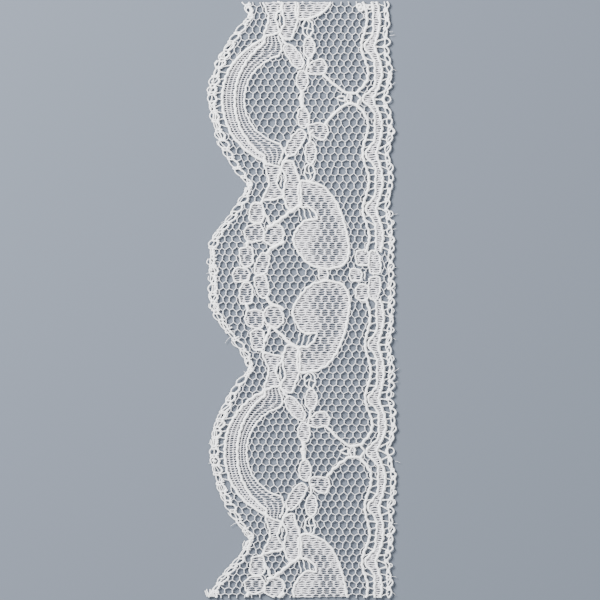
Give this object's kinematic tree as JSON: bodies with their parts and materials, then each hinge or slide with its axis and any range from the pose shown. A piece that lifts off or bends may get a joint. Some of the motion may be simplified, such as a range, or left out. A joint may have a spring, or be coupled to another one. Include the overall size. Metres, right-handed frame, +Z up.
{
  "type": "raschel lace edging",
  "caption": "Flat cut length of white raschel lace trimming with a looped scalloped edge, a straight heading to sew on by, and floral motifs on hexagonal net.",
  "frame": {"origin": "on the surface it lies on, under the middle of the strip's outline", "axes": "+X across the lace towards the straight heading, +Y along the lace, +Z up out of its face"},
  "size_m": [0.0357, 0.1108, 0.0014],
  "materials": {
    "yarn": "soft white filament yarn with a slight sheen"
  },
  "bodies": {
    "root": {"lace": "yarn"}
  },
  "joints": []
}
